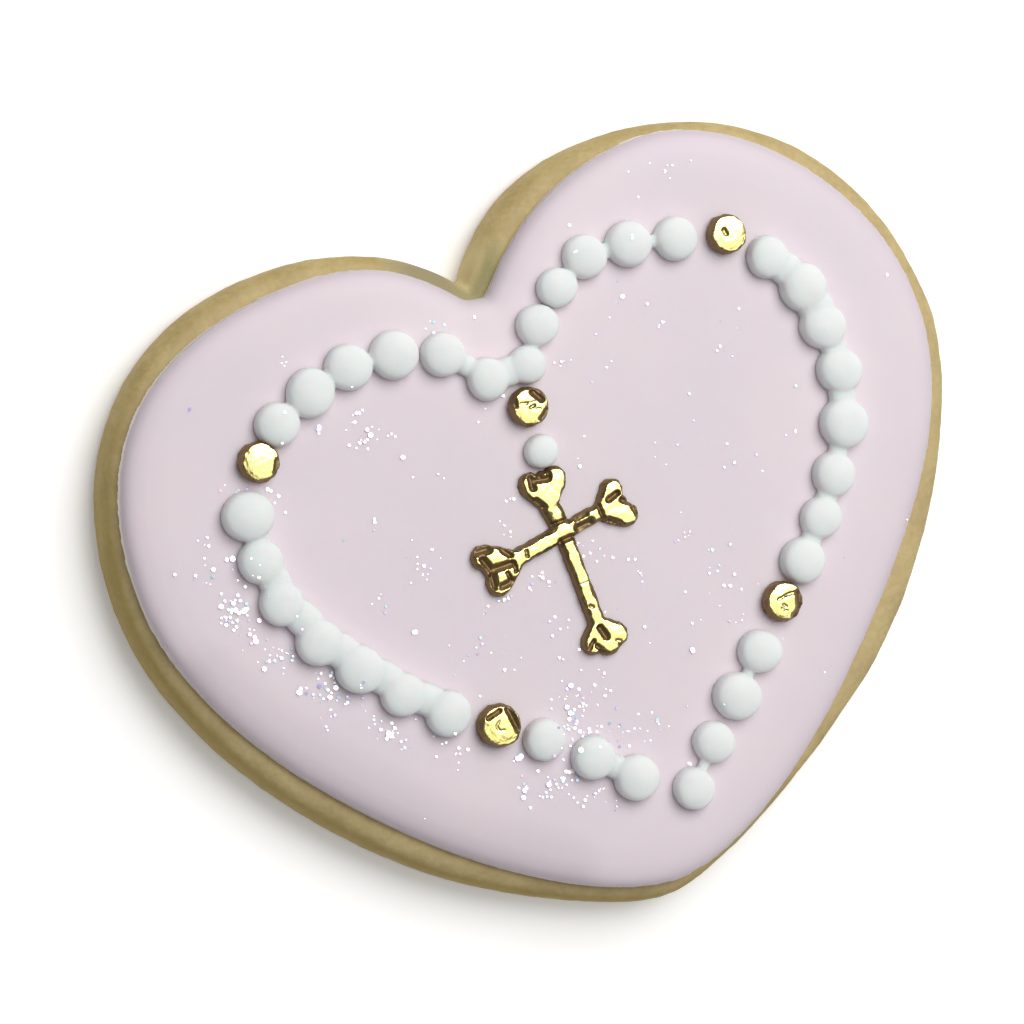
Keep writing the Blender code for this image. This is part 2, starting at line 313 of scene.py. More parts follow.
def mixed(tree, share, first, second):
    """Two colours mixed by a share."""
    node = tree.nodes.new("ShaderNodeMix")
    node.data_type = "RGBA"
    for name, value in (("Factor_Float", share), ("A_Color", first), ("B_Color", second)):
        socket = next(each for each in node.inputs if each.identifier == name)
        if isinstance(value, bpy.types.NodeSocket):
            tree.links.new(value, socket)
        else:
            socket.default_value = value
    return next(each for each in node.outputs if each.identifier == "Result_Color")


def grain_group():
    """Relief in two sizes, coarse and three times finer, as a height around one half."""
    group, entry, leave = new_group(
        "grain",
        (("Vector", "NodeSocketVector", None), ("Scale", "NodeSocketFloat", 1000.0), ("Fine", "NodeSocketFloat", 0.4)),
        (("Height", "NodeSocketFloat"),),
    )
    coarse = add_node(group, "ShaderNodeTexNoise", {"Vector": entry["Vector"], "Scale": entry["Scale"], "Detail": 2.0})
    finer = math_node(group, "MULTIPLY", entry["Scale"], 3.1)
    fine = add_node(group, "ShaderNodeTexNoise", {"Vector": entry["Vector"], "Scale": finer, "Detail": 3.0})
    mix = add_node(group, "ShaderNodeMix", {"Factor": entry["Fine"]}, data_type="FLOAT")
    group.links.new(coarse.outputs["Fac"], mix.inputs["A"])
    group.links.new(fine.outputs["Fac"], mix.inputs["B"])
    group.links.new(mix.outputs["Result"], leave["Height"])
    return group


def mottle_group():
    """Two colours that drift into each other in soft patches of a given scale."""
    group, entry, leave = new_group(
        "mottle",
        (
            ("Vector", "NodeSocketVector", None), ("Scale", "NodeSocketFloat", 100.0),
            ("Edge", "NodeSocketFloat", 0.2),
            ("Light", "NodeSocketColor", None), ("Dark", "NodeSocketColor", None),
        ),
        (("Color", "NodeSocketColor"), ("Mask", "NodeSocketFloat")),
    )
    noise = add_node(group, "ShaderNodeTexNoise", {"Vector": entry["Vector"], "Scale": entry["Scale"], "Detail": 3.0})
    low = math_node(group, "SUBTRACT", 0.5, entry["Edge"])
    high = math_node(group, "ADD", 0.5, entry["Edge"])
    mask = between(group, noise.outputs["Fac"], low, high)
    group.links.new(mixed(group, mask, entry["Dark"], entry["Light"]), leave["Color"])
    group.links.new(mask, leave["Mask"])
    return group


def speck_group():
    """A mask of small scattered specks: one in each cell that a share of the cells picks."""
    group, entry, leave = new_group(
        "specks",
        (
            ("Vector", "NodeSocketVector", None), ("Scale", "NodeSocketFloat", 200.0),
            ("Size", "NodeSocketFloat", 0.1), ("Share", "NodeSocketFloat", 0.3),
        ),
        (("Mask", "NodeSocketFloat"),),
    )
    cells = add_node(group, "ShaderNodeTexVoronoi", {"Vector": entry["Vector"], "Scale": entry["Scale"]})
    near = between(group, cells.outputs["Distance"], 0.0, entry["Size"], 1.0, 0.0)
    channel = add_node(group, "ShaderNodeSeparateColor", {"Color": cells.outputs["Color"]})
    picked = math_node(group, "LESS_THAN", channel.outputs["Red"], entry["Share"])
    group.links.new(math_node(group, "MULTIPLY", near, picked), leave["Mask"])
    return group


GRAIN = grain_group()
MOTTLE = mottle_group()
SPECKS = speck_group()


def new_material(name):
    """A material with its shader, and the piece's own coordinates."""
    material = bpy.data.materials.new(name)
    material.use_nodes = True
    tree = material.node_tree
    coordinates = tree.nodes.new("ShaderNodeTexCoord")
    return material, tree, tree.nodes["Principled BSDF"], coordinates.outputs["Object"]


def filled(tree, group, links):
    """A node group placed in a material with its own values."""
    node = tree.nodes.new("ShaderNodeGroup")
    node.node_tree = group
    for name, value in links.items():
        if isinstance(value, bpy.types.NodeSocket):
            tree.links.new(value, node.inputs[name])
        else:
            node.inputs[name].default_value = value
    return node


def bump(tree, shader, height, distance, strength=1.0):
    """Fine relief on a shader, its height in millimetres."""
    node = add_node(tree, "ShaderNodeBump", {"Height": height, "Distance": distance * MM, "Strength": strength})
    tree.links.new(node.outputs["Normal"], shader.inputs["Normal"])


# Painted light and shade: the walls of the heart's notch are painted palest, a painted light, and the top in the notch
# and on its left is painted dull, a painted shadow.
NOTCH_LIGHT_AND_SHADE_PLACE = (-0.6, 28.0, 5.5)
SHADOWED_TOP_PLACE = (-4.0, 30.0, 6.5)

# How strongly the walls are painted darker, a painted shade on the side turned from the key light: on the heart's
# lower left, and on its upper right.
WALL_SHADE = (0.62, 0.12)


def near_place(tree, here, place, full, none):
    """A mask around a place: whole within one distance and nothing beyond another, in millimetres."""
    apart = add_node(tree, "ShaderNodeVectorMath", operation="DISTANCE")
    tree.links.new(here, apart.inputs[0])
    apart.inputs[1].default_value = mm(*place)
    return between(tree, apart.outputs["Value"], full * MM, none * MM, 1.0, 0.0)


def biscuit_material():
    material, tree, shader, here = new_material("baked biscuit")
    crumb = filled(tree, MOTTLE, {
        "Vector": here, "Scale": 260.0, "Edge": 0.22,
        "Light": (0.60, 0.470, 0.205, 1.0), "Dark": (0.49, 0.370, 0.150, 1.0),
    })
    fine = filled(tree, MOTTLE, {
        "Vector": here, "Scale": 1500.0, "Edge": 0.25,
        "Light": (1.0, 1.0, 1.0, 1.0), "Dark": (0.86, 0.84, 0.80, 1.0),
    })
    toned = add_node(tree, "ShaderNodeMix", data_type="RGBA", blend_type="MULTIPLY")
    toned.inputs[0].default_value = 1.0
    tree.links.new(crumb.outputs["Color"], toned.inputs[6])
    tree.links.new(fine.outputs["Color"], toned.inputs[7])
    split = add_node(tree, "ShaderNodeSeparateXYZ", {"Vector": here})
    # Darker at the foot of the wall: partly real browning from baking, partly a painted contact shadow where the
    # biscuit meets the floor.
    browning_and_contact_shadow = between(tree, split.outputs["Z"], 0.0, 1.6 * MM, 1.0, 0.0)
    colour = mixed(tree, browning_and_contact_shadow, toned.outputs[2], (0.26, 0.15, 0.06, 1.0))
    top = between(tree, split.outputs["Z"], (BISCUIT_TOP - 1.3) * MM, (BISCUIT_TOP - 0.3) * MM)
    wall = math_node(tree, "SUBTRACT", 1.0, top)
    # Painted shade: the walls are painted darker towards the lower left, the side turned away from the key light.
    across = math_node(tree, "ADD", split.outputs["X"], split.outputs["Y"])
    wall_shade = between(tree, across, -32.0 * MM, 2.0 * MM, *WALL_SHADE)
    colour = mixed(tree, math_node(tree, "MULTIPLY", wall_shade, wall), colour, (0.36, 0.25, 0.05, 1.0))
    colour = mixed(tree, math_node(tree, "MULTIPLY", top, 0.25), colour, (0.56, 0.47, 0.31, 1.0))
    # Painted light on the walls of the notch, and a painted shadow on the top face inside the notch.
    near = near_place(tree, here, NOTCH_LIGHT_AND_SHADE_PLACE, 3.0, 7.0)
    colour = mixed(tree, near, colour, (0.68, 0.56, 0.27, 1.0))
    colour = mixed(tree, math_node(tree, "MULTIPLY", near, top), colour, (0.36, 0.315, 0.15, 1.0))
    # Painted shadow: the top on the left of the notch is painted darker.
    top_shadow = near_place(tree, here, SHADOWED_TOP_PLACE, 1.5, 6.0)
    colour = mixed(tree, top_shadow, colour, (0.33, 0.28, 0.155, 1.0))
    tree.links.new(colour, shader.inputs["Base Color"])
    shader.inputs["Roughness"].default_value = 0.72
    shader.inputs["Specular IOR Level"].default_value = 0.3
    relief = filled(tree, GRAIN, {"Vector": here, "Scale": 900.0, "Fine": 0.45})
    bump(tree, shader, relief.outputs["Height"], 0.12)
    return material


def icing_material():
    material, tree, shader, here = new_material("flooded pink icing")
    tone = filled(tree, MOTTLE, {
        "Vector": here, "Scale": 75.0, "Edge": 0.3,
        "Light": (0.785, 0.699, 0.742, 1.0), "Dark": (0.750, 0.675, 0.726, 1.0),
    })
    specks = filled(tree, SPECKS, {"Vector": here, "Scale": 260.0, "Size": 0.045, "Share": 0.12})
    colour = mixed(tree, specks.outputs["Mask"], tone.outputs["Color"], (0.52, 0.46, 0.50, 1.0))
    split = add_node(tree, "ShaderNodeSeparateXYZ", {"Vector": here})
    # Painted shade: the icing's sloping rim is painted darker than its flat top.
    slope_shade = between(tree, split.outputs["Z"], (ICING_TOP - 1.1) * MM, (ICING_TOP - 0.12) * MM, 1.0, 0.0)
    colour = mixed(tree, slope_shade, colour, (0.58, 0.515, 0.555, 1.0))
    # Painted light: the thin foot of the icing on the biscuit is painted lighter and warmer, as light bounced from the
    # biscuit and floor.
    thin = between(tree, split.outputs["Z"], (BISCUIT_TOP + 0.2) * MM, (BISCUIT_TOP + 0.7) * MM, 1.0, 0.0)
    colour = mixed(tree, thin, colour, (0.93, 0.80, 0.73, 1.0))
    tree.links.new(colour, shader.inputs["Base Color"])
    shader.inputs["Roughness"].default_value = 0.5
    shader.inputs["Specular IOR Level"].default_value = 0.4
    shader.inputs["Subsurface Weight"].default_value = 0.6
    shader.inputs["Subsurface Radius"].default_value = (1.0, 0.75, 0.8)
    shader.inputs["Subsurface Scale"].default_value = 1.6 * MM
    relief = filled(tree, GRAIN, {"Vector": here, "Scale": 700.0, "Fine": 0.3})
    bump(tree, shader, relief.outputs["Height"], 0.012)
    return material


def pearl_material():
    material, tree, shader, here = new_material("white piping")
    tone = filled(tree, MOTTLE, {
        "Vector": here, "Scale": 420.0, "Edge": 0.3,
        "Light": (0.820, 0.850, 0.838, 1.0), "Dark": (0.780, 0.812, 0.808, 1.0),
    })
    split = add_node(tree, "ShaderNodeSeparateXYZ", {"Vector": here})
    # Painted reflection: the pearls' lower sides are painted pink, as light bounced from the pink icing.
    icing_bounce_light = between(tree, split.outputs["Z"], ICING_TOP * MM, (ICING_TOP + 0.9) * MM, 1.0, 0.0)
    colour = mixed(tree, icing_bounce_light, tone.outputs["Color"], (1.0, 0.82, 0.86, 1.0))
    tree.links.new(colour, shader.inputs["Base Color"])
    shader.inputs["Roughness"].default_value = 0.55
    shader.inputs["Specular IOR Level"].default_value = 0.3
    shader.inputs["Subsurface Weight"].default_value = 1.0
    shader.inputs["Subsurface Radius"].default_value = (1.0, 0.62, 0.70)
    shader.inputs["Subsurface Scale"].default_value = 2.2 * MM
    relief = filled(tree, GRAIN, {"Vector": here, "Scale": 1100.0, "Fine": 0.4})
    bump(tree, shader, relief.outputs["Height"], 0.014)
    return material


def gold_material():
    material, tree, shader, here = new_material("gold lustre")
    tone = filled(tree, MOTTLE, {
        "Vector": here, "Scale": 1600.0, "Edge": 0.25,
        "Light": (0.94, 0.81, 0.31, 1.0), "Dark": (0.86, 0.71, 0.24, 1.0),
    })
    surface = add_node(tree, "ShaderNodeNewGeometry")
    facing = add_node(tree, "ShaderNodeSeparateXYZ", {"Vector": surface.outputs["Normal"]})
    # Painted reflection and shade: the steep flanks are painted brown as a painted dark reflection, and the hollows
    # are painted brown as painted shade.
    flank = between(tree, facing.outputs["Z"], 0.74, 0.96, 1.0, 0.0)
    hollow = add_node(tree, "ShaderNodeAttribute", attribute_name="hollow")
    dark_reflection_and_shade = math_node(tree, "MAXIMUM", flank, hollow.outputs["Fac"])
    colour = mixed(tree, dark_reflection_and_shade, tone.outputs["Color"], (0.27, 0.185, 0.090, 1.0))
    tree.links.new(colour, shader.inputs["Base Color"])
    shader.inputs["Metallic"].default_value = 1.0
    relief = filled(tree, GRAIN, {"Vector": here, "Scale": 2400.0, "Fine": 0.35})
    sheen = between(tree, relief.outputs["Height"], 0.3, 0.7, 0.18, 0.30)
    matt = math_node(tree, "MULTIPLY", hollow.outputs["Fac"], 0.30)
    tree.links.new(math_node(tree, "ADD", sheen, matt), shader.inputs["Roughness"])
    bump(tree, shader, relief.outputs["Height"], 0.012)
    return material


def glitter_material():
    material, tree, shader, _ = new_material("edible glitter")
    tint = add_node(tree, "ShaderNodeAttribute", attribute_name="tint")
    tree.links.new(tint.outputs["Color"], shader.inputs["Base Color"])
    shader.inputs["Metallic"].default_value = 0.35
    shader.inputs["Roughness"].default_value = 0.22
    return material


# ---------------------------------------------------------------- biscuit and icing

BISCUIT_VOXEL = 0.45
ICING_VOXEL = 0.34

# The icing's foot runs out thin on the biscuit, and its wall stands a little inside that foot.
WALL_SHARE = 0.991

# Along its lower left the icing slopes off more gently: the line just inside the edge that sank.
SUNK_EDGE = ((-40.6, 1.0), (-36.3, -6.9), (-30.3, -14.9), (-24.0, -21.8), (-12.8, -30.6))
SUNK_DEPTH = 0.34
SUNK_REACH = 4.6


def bake_biscuit(material):
    """The heart of dough: an even skin with the soft unevenness of a rolled and baked biscuit."""
    piece = copy_solid("biscuit", "baked_biscuit")
    even_skin(piece, BISCUIT_VOXEL, 4)
    ripple(piece, "CLOUDS", 5.0, 0.16)
    ripple(piece, "CLOUDS", 1.2, 0.10)
    return finish_piece(piece, material, ["biscuit"])


def flood_icing(material):
    """The icing: its lowest ring runs out thin on the biscuit's edge, and its wall stands inside it."""
    piece = copy_solid("icing", "flooded_icing")
    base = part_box("icing")[0].z
    open_piece(piece)
    select_points(piece, lambda place: base + 0.1 * MM < place.z < base + 0.5 * MM)
    bpy.ops.transform.resize(value=(WALL_SHARE, WALL_SHARE, 1.0), center_override=(0.0, 0.0, 0.0))
    select_points(piece, lambda place: place.z < base + 0.1 * MM)
    bpy.ops.transform.resize(value=(2 - WALL_SHARE, 2 - WALL_SHARE, 1.0), center_override=(0.0, 0.0, 0.0))
    bpy.ops.transform.translate(value=(0.0, 0.0, ICING_FOOT * MM - base))
    close_piece()
    even_skin(piece, ICING_VOXEL, 4)
    sunk = [mm(*place) for place in SUNK_EDGE]
    press_line(piece, sunk, ICING_VOXEL, ICING_TOP - 1.2, SUNK_DEPTH, "SMOOTH", SUNK_REACH)
    apply_modifier(piece, "SMOOTH", factor=0.5, iterations=6)
    ripple(piece, "CLOUDS", 14.0, 0.10)
    return finish_piece(piece, material, ["icing"])


# ---------------------------------------------------------------- piped pearls

def names(side, first, last):
    """The names of a strand's pearls from one number to another."""
    return [f"pearl_{side}_{number:02d}" for number in range(first, last + 1)]


# A run is the pearls that flow together, in their order, with the neck between each two of them: its
# width as a share of the smaller pearl, and how far it lies to the left of the strand's run.
Neck = namedtuple("Neck", "share shift")
RUNS = {
    "pearls_at_join": (
        ["pearl_left_02", "pearl_left_01", "pearl_join", "pearl_right_01"],
        (Neck(0.50, 0.2), Neck(0.80, 0.0), Neck(0.36, 0.0)),
    ),
    "pearls_left_crown": (names("left", 3, 6), (Neck(0.34, 0.0), Neck(0.44, 0.0), Neck(0.44, 0.0))),
    "pearls_left_side": (
        names("left", 7, 13),
        (Neck(0.55, 0.3), Neck(0.74, 0.4), Neck(0.78, 0.5), Neck(0.78, 0.5), Neck(0.78, 0.5), Neck(0.76, 0.5)),
    ),
    "pearl_left_lone": (names("left", 14, 14), ()),
    "pearls_left_foot": (names("left", 15, 16), (Neck(0.56, 0.1),)),
    "pearls_right_crown": (names("right", 2, 5), (Neck(0.32, 0.0), Neck(0.36, 0.0), Neck(0.30, 0.0))),
    "pearls_right_side": (
        names("right", 6, 13),
        (Neck(0.80, 0.3), Neck(0.82, 0.3), Neck(0.56, 0.3), Neck(0.60, 0.1), Neck(0.44, 0.0), Neck(0.52, 0.0),
         Neck(0.50, 0.0)),
    ),
    "pearls_right_low": (names("right", 14, 15), (Neck(0.28, 0.0),)),
    "pearls_right_foot": (names("right", 16, 17), (Neck(0.26, 0.0),)),
    "pearl_pendant": (["pearl_pendant_01"], ()),
}
PEARL_VOXEL = 0.12

# A wide neck is nearly as high as its pearls, and a thin one stays lower.
NECK_RISE = 0.38
NECK_FILL = 0.73
PEARL_FULLNESS = 1.03
PEARL_CUT = -0.04
BEAD_CUT = -0.30


def shape_dome(name, cut, press, flatness):
    """A piped dome of radius 1 and height 1: a sphere cut below its middle, its top pressed flatter."""
    bpy.ops.object.select_all(action="DESELECT")
    bpy.ops.mesh.primitive_uv_sphere_add(segments=48, ring_count=32, radius=1.0)
    dome = bpy.context.active_object
    dome.name = name
    open_piece(dome)
    bpy.ops.mesh.select_all(action="SELECT")
    bpy.ops.mesh.bisect(plane_co=(0, 0, cut), plane_no=(0, 0, 1), clear_inner=True, use_fill=True)
    select_points(dome, lambda place: place.z > 1.0 - press)
    bpy.ops.transform.resize(value=(1.0, 1.0, flatness), center_override=(0.0, 0.0, 1.0 - press))
    bpy.ops.mesh.select_all(action="SELECT")
    bpy.ops.transform.translate(value=(0.0, 0.0, -cut))
    close_piece()
    top = max(vert.co.z for vert in dome.data.vertices)
    dome.data.transform(Matrix.Diagonal((1.0, 1.0, 1.0 / top, 1.0)))
    return dome


def dome_at(master, place, length, width, height, turn=0.0):
    """A copy of a dome at a place on the icing: its length, width and height, and its turn."""
    moved = Matrix.Translation(mm(place.x, place.y, PIPING_FOOT)) @ Matrix.Rotation(turn, 4, "Z")
    return copy_shape(master, moved @ Matrix.Diagonal((length / 2 * MM, width / 2 * MM, height * MM, 1.0)))


def pearl_place(node):
    """A pearl's middle and its size, in millimetres, from the tip of its solid."""
    low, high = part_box(node)
    tip = max((vert.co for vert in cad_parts[node].data.vertices), key=lambda place: place.z)
    return Vector((tip.x, tip.y)) / MM, (high.z - low.z) / MM / PEARL_RISE_SHARE


def pipe_run(name, nodes, necks, master, material, chance):
    """Pearls piped one after another, each a little uneven, with necks where they have run together."""
    places = [pearl_place(node) for node in nodes]
    top = {node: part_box(node)[1].z / MM for node in nodes}
    domes = []
    for node, (middle, size) in zip(nodes, places):
        oval = chance.uniform(0.97, 1.03)
        wide = size * PEARL_FULLNESS
        height = top[node] - PIPING_FOOT
        domes.append(dome_at(master, middle, wide * oval, wide / oval, height, chance.uniform(0, math.pi)))
    for (first, first_size), (second, second_size), neck in zip(places, places[1:], necks):
        along = second - first
        leftwards = Vector((-along.y, along.x)).normalized()
        width = neck.share * min(first_size, second_size)
        full = min(first_size, second_size) * PEARL_RISE_SHARE + ICING_TOP - PIPING_FOOT
        height = full * (NECK_RISE + NECK_FILL * neck.share)
        middle = (first + second) / 2 + along.normalized() * (first_size - second_size) / 4
        middle += leftwards * neck.shift
        turn = math.atan2(along.y, along.x)
        domes.append(dome_at(master, middle, along.length, width, height, turn))
    piece = join_shapes(name, domes)
    even_skin(piece, PEARL_VOXEL, 14)
    ripple(piece, "CLOUDS", 1.6, 0.09)
    return finish_piece(piece, material, nodes)


def pipe_pearls(material):
    chance = random.Random(11)
    master = shape_dome("pearl_dome", PEARL_CUT, 0.60, 0.24)
    pieces = []
    for name, (nodes, necks) in RUNS.items():
        pieces.append(pipe_run(name, nodes, necks, master, material, chance))
    bpy.data.objects.remove(master)
    return pieces


# ---------------------------------------------------------------- gold beads and cross

GOLD_VOXEL = 0.09

# The gold was pressed flat while soft: what stands above a share of its height is flattened to a bit.
BEAD_LEVEL = 0.62
FLATTENED = 0.10

# A crease in the gold: where it begins and ends, how wide each of its sides is, and how deep it goes.
# A bead's creases are counted from its own middle.
Crease = namedtuple("Crease", "start end side depth")
BEAD_CREASES = {
    "gold_bead_1": (
        Crease((1.6, -0.5), (1.0, -1.5), 0.30, 0.20), Crease((-1.7, 0.9), (-1.4, 1.4), 0.26, 0.20),
    ),
    "gold_bead_2": (
        Crease((-1.1, 1.2), (0.3, 1.5), 0.24, 0.28), Crease((-0.1, 0.55), (-0.5, 0.25), 0.12, 0.07),
        Crease((-0.55, 0.1), (-0.45, -0.3), 0.12, 0.07), Crease((-0.3, -0.45), (0.1, -0.45), 0.12, 0.07),
        Crease((1.2, 1.3), (1.5, -1.0), 0.42, 0.40),
    ),
    "gold_bead_3": (
        Crease((-0.45, 0.55), (-0.4, 0.1), 0.26, 0.22), Crease((-1.6, -1.1), (-1.1, -1.6), 0.26, 0.20),
    ),
    "gold_bead_4": (
        Crease((-0.7, 0.45), (0.2, 0.6), 0.14, 0.12), Crease((0.2, 0.6), (1.4, 0.5), 0.16, 0.15),
        Crease((-0.4, -0.2), (-0.2, -0.5), 0.12, 0.10), Crease((-0.7, -0.5), (-0.3, -0.9), 0.12, 0.08),
        Crease((1.7, 0.2), (1.3, -1.2), 0.55, 0.50), Crease((1.3, -1.2), (0.4, -1.8), 0.45, 0.40),
    ),
    "gold_bead_5": (
        Crease((0.8, 1.3), (1.3, 0.4), 0.50, 0.50), Crease((-0.1, -0.1), (0.4, 0.05), 0.16, 0.22),
        Crease((-0.9, 0.6), (-0.3, 0.45), 0.12, 0.10), Crease((-0.3, 0.45), (0.7, 0.3), 0.12, 0.08),
        Crease((-1.4, 1.3), (-1.5, 0.6), 0.30, 0.25), Crease((0.6, -1.5), (1.5, -0.9), 0.30, 0.30),
        Crease((0.1, -0.35), (0.8, -0.5), 0.10, 0.08),
    ),
}

# The cross is pressed flat at this height above the icing.
CROSS_LEVEL = 1.15
STROKE_CREASES = (
    Crease((-1.6, 0.8), (-0.2, 0.8), 0.35, 0.40), Crease((-1.8, 2.65), (-0.2, 2.65), 0.28, 0.35),
    Crease((0.6, 1.4), (1.9, 1.5), 0.60, 0.50), Crease((0.6, 2.2), (1.8, 2.4), 0.26, 0.28),
    Crease((3.4, 1.1), (3.3, 2.7), 0.22, 0.40),
    Crease((-5.6, 1.8), (-4.0, 1.9), 0.30, 0.30), Crease((-5.3, 1.3), (-5.4, 0.6), 0.15, 0.20),
    Crease((-1.2, -3.95), (-0.4, -3.95), 0.08, 0.06), Crease((-1.1, -6.3), (-0.9, -6.5), 0.18, 0.16),
)
TOP_BUD_CREASES = (
    Crease((-3.5, 6.6), (-3.45, 7.9), 0.34, 0.40), Crease((-2.3, 7.9), (-2.45, 6.7), 0.38, 0.42),
    Crease((-1.9, 7.4), (-0.7, 7.1), 0.36, 0.40), Crease((-0.4, 8.3), (-0.4, 7.1), 0.22, 0.35),
    Crease((-1.6, 8.3), (-1.3, 7.7), 0.28, 0.35),
    Crease((-2.6, 5.5), (-2.0, 4.6), 0.34, 0.32), Crease((0.4, 5.3), (-0.1, 4.6), 0.30, 0.30),
)
LEFT_BUD_CREASES = (
    Crease((-10.0, 2.9), (-9.0, 2.8), 0.55, 0.50), Crease((-9.8, 2.0), (-9.4, 0.8), 0.42, 0.50),
    Crease((-9.4, 0.3), (-9.6, -0.9), 0.42, 0.50), Crease((-8.9, 0.7), (-7.2, 0.6), 0.46, 0.40),
    Crease((-7.6, 2.2), (-7.0, 1.4), 0.34, 0.40), Crease((-8.9, -1.2), (-7.6, -1.1), 0.42, 0.40),
    Crease((-7.0, -0.3), (-6.9, 0.6), 0.20, 0.28), Crease((-7.9, -0.1), (-7.8, -0.9), 0.20, 0.30),
)
RIGHT_BUD_CREASES = (
    Crease((3.4, 3.2), (4.4, 4.4), 0.42, 0.50), Crease((4.5, 2.9), (5.6, 3.2), 0.34, 0.42),
    Crease((5.8, 2.4), (6.5, 1.8), 0.32, 0.42), Crease((3.8, 1.0), (4.8, 0.2), 0.38, 0.40),
    Crease((6.6, 1.4), (6.8, 0.4), 0.28, 0.30), Crease((6.4, 3.8), (6.4, 2.8), 0.30, 0.30),
)
FOOT_BUD_CREASES = (
    Crease((-0.9, -8.7), (-0.6, -9.8), 0.38, 0.42), Crease((-2.7, -10.3), (-2.0, -9.7), 0.20, 0.28),
    Crease((-1.9, -10.2), (-1.4, -11.0), 0.24, 0.30), Crease((0.3, -10.5), (0.6, -10.7), 0.14, 0.12),
)
CROSS_CREASES = (
    STROKE_CREASES + TOP_BUD_CREASES + LEFT_BUD_CREASES + RIGHT_BUD_CREASES + FOOT_BUD_CREASES
)
CREASE_LINE = 0.08

# The gold's hollows are painted brown as painted shade: from this far below the pressed top, over this range.
HOLLOW_START = 0.06
HOLLOW_RANGE = 0.12


def press_crease(piece, middle, crease):
    """Presses a crease with straight sides into the gold; places are counted from the middle."""
    start = mm(*crease.start) + mm(middle.x, middle.y)
    end = mm(*crease.end) + mm(middle.x, middle.y)
    press_line(piece, [start, end], CREASE_LINE, ICING_TOP + 0.3, crease.depth, "LINEAR", crease.side)


def press_flat(piece, level):
    """Flattens what stands above a level, in millimetres."""
    open_piece(piece)
    if select_points(piece, lambda place: place.z > level * MM):
        bpy.ops.transform.resize(value=(1.0, 1.0, FLATTENED), center_override=(0.0, 0.0, level * MM))
    close_piece()


def mark_hollows(piece, level):
    """Marks on each point how far it lies below the pressed top, for the painted shade: 0 on the top, 1 in the
    hollows.
    """
    marks = piece.data.attributes.new("hollow", "FLOAT", "POINT")
    for vert, mark in zip(piece.data.vertices, marks.data):
        below = level - vert.co.z / MM
        mark.value = min(max((below - HOLLOW_START) / HOLLOW_RANGE, 0.0), 1.0)


def gild_beads(material):
    master = shape_dome("gold_dome", BEAD_CUT, 0.10, 0.9)
    pieces = []
    for number in range(1, 6):
        node = f"gold_bead_{number}"
        low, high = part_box(node)
        middle = (low + high) / 2 / MM
        size = (high.x - low.x + high.y - low.y) / 2 / MM
        tall = high.z / MM - PIPING_FOOT
        bead = dome_at(master, middle, size, size, tall / (BEAD_LEVEL + (1 - BEAD_LEVEL) * FLATTENED))
        bead.name = f"gilded_bead_{number}"
        even_skin(bead, GOLD_VOXEL, 2)
        ripple(bead, "CLOUDS", 0.8, 0.30)
        level = PIPING_FOOT + tall * BEAD_LEVEL / (BEAD_LEVEL + (1 - BEAD_LEVEL) * FLATTENED)
        press_flat(bead, level)
        for crease in BEAD_CREASES[node]:
            press_crease(bead, middle, crease)
        apply_modifier(bead, "SMOOTH", factor=0.5, iterations=3)
        ripple(bead, "CLOUDS", 0.45, 0.045)
        mark_hollows(bead, level)
        pieces.append(finish_piece(bead, material, [node]))
    bpy.data.objects.remove(master)
    return pieces


def gild_cross(material):
    piece = copy_solid("cross", "gilded_cross")
    low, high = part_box("cross")
    open_piece(piece)
    select_points(piece, lambda place: place.z < low.z + 0.02 * MM)
    bpy.ops.transform.translate(value=(0.0, 0.0, PIPING_FOOT * MM - low.z))
    close_piece()
    even_skin(piece, GOLD_VOXEL, 4)
    ripple(piece, "CLOUDS", 0.8, 0.24)
    press_flat(piece, ICING_TOP + CROSS_LEVEL)
    for crease in CROSS_CREASES:
        press_crease(piece, Vector((0.0, 0.0)), crease)
    apply_modifier(piece, "SMOOTH", factor=0.5, iterations=3)
    ripple(piece, "CLOUDS", 0.45, 0.045)
    mark_hollows(piece, ICING_TOP + CROSS_LEVEL)
    return finish_piece(piece, material, ["cross"])


# ---------------------------------------------------------------- glitter

FLAKE_SIDES = 6
FLAKE_TILT = math.radians(5)
FLAKE_TINTS = (
    (1.0, 1.0, 1.0), (1.0, 1.0, 1.0), (1.0, 1.0, 1.0), (0.80, 0.78, 1.0), (0.80, 0.92, 1.0), (1.0, 0.84, 0.92),
)
FLAT_SHARE = 0.3
FLAT_TINTS = ((0.84, 0.82, 1.0), (0.78, 0.93, 1.0), (0.96, 0.86, 1.0))
FINE = (0.14, 0.20, 0.26, 0.34)
COARSE = (0.34, 0.44, 0.55)

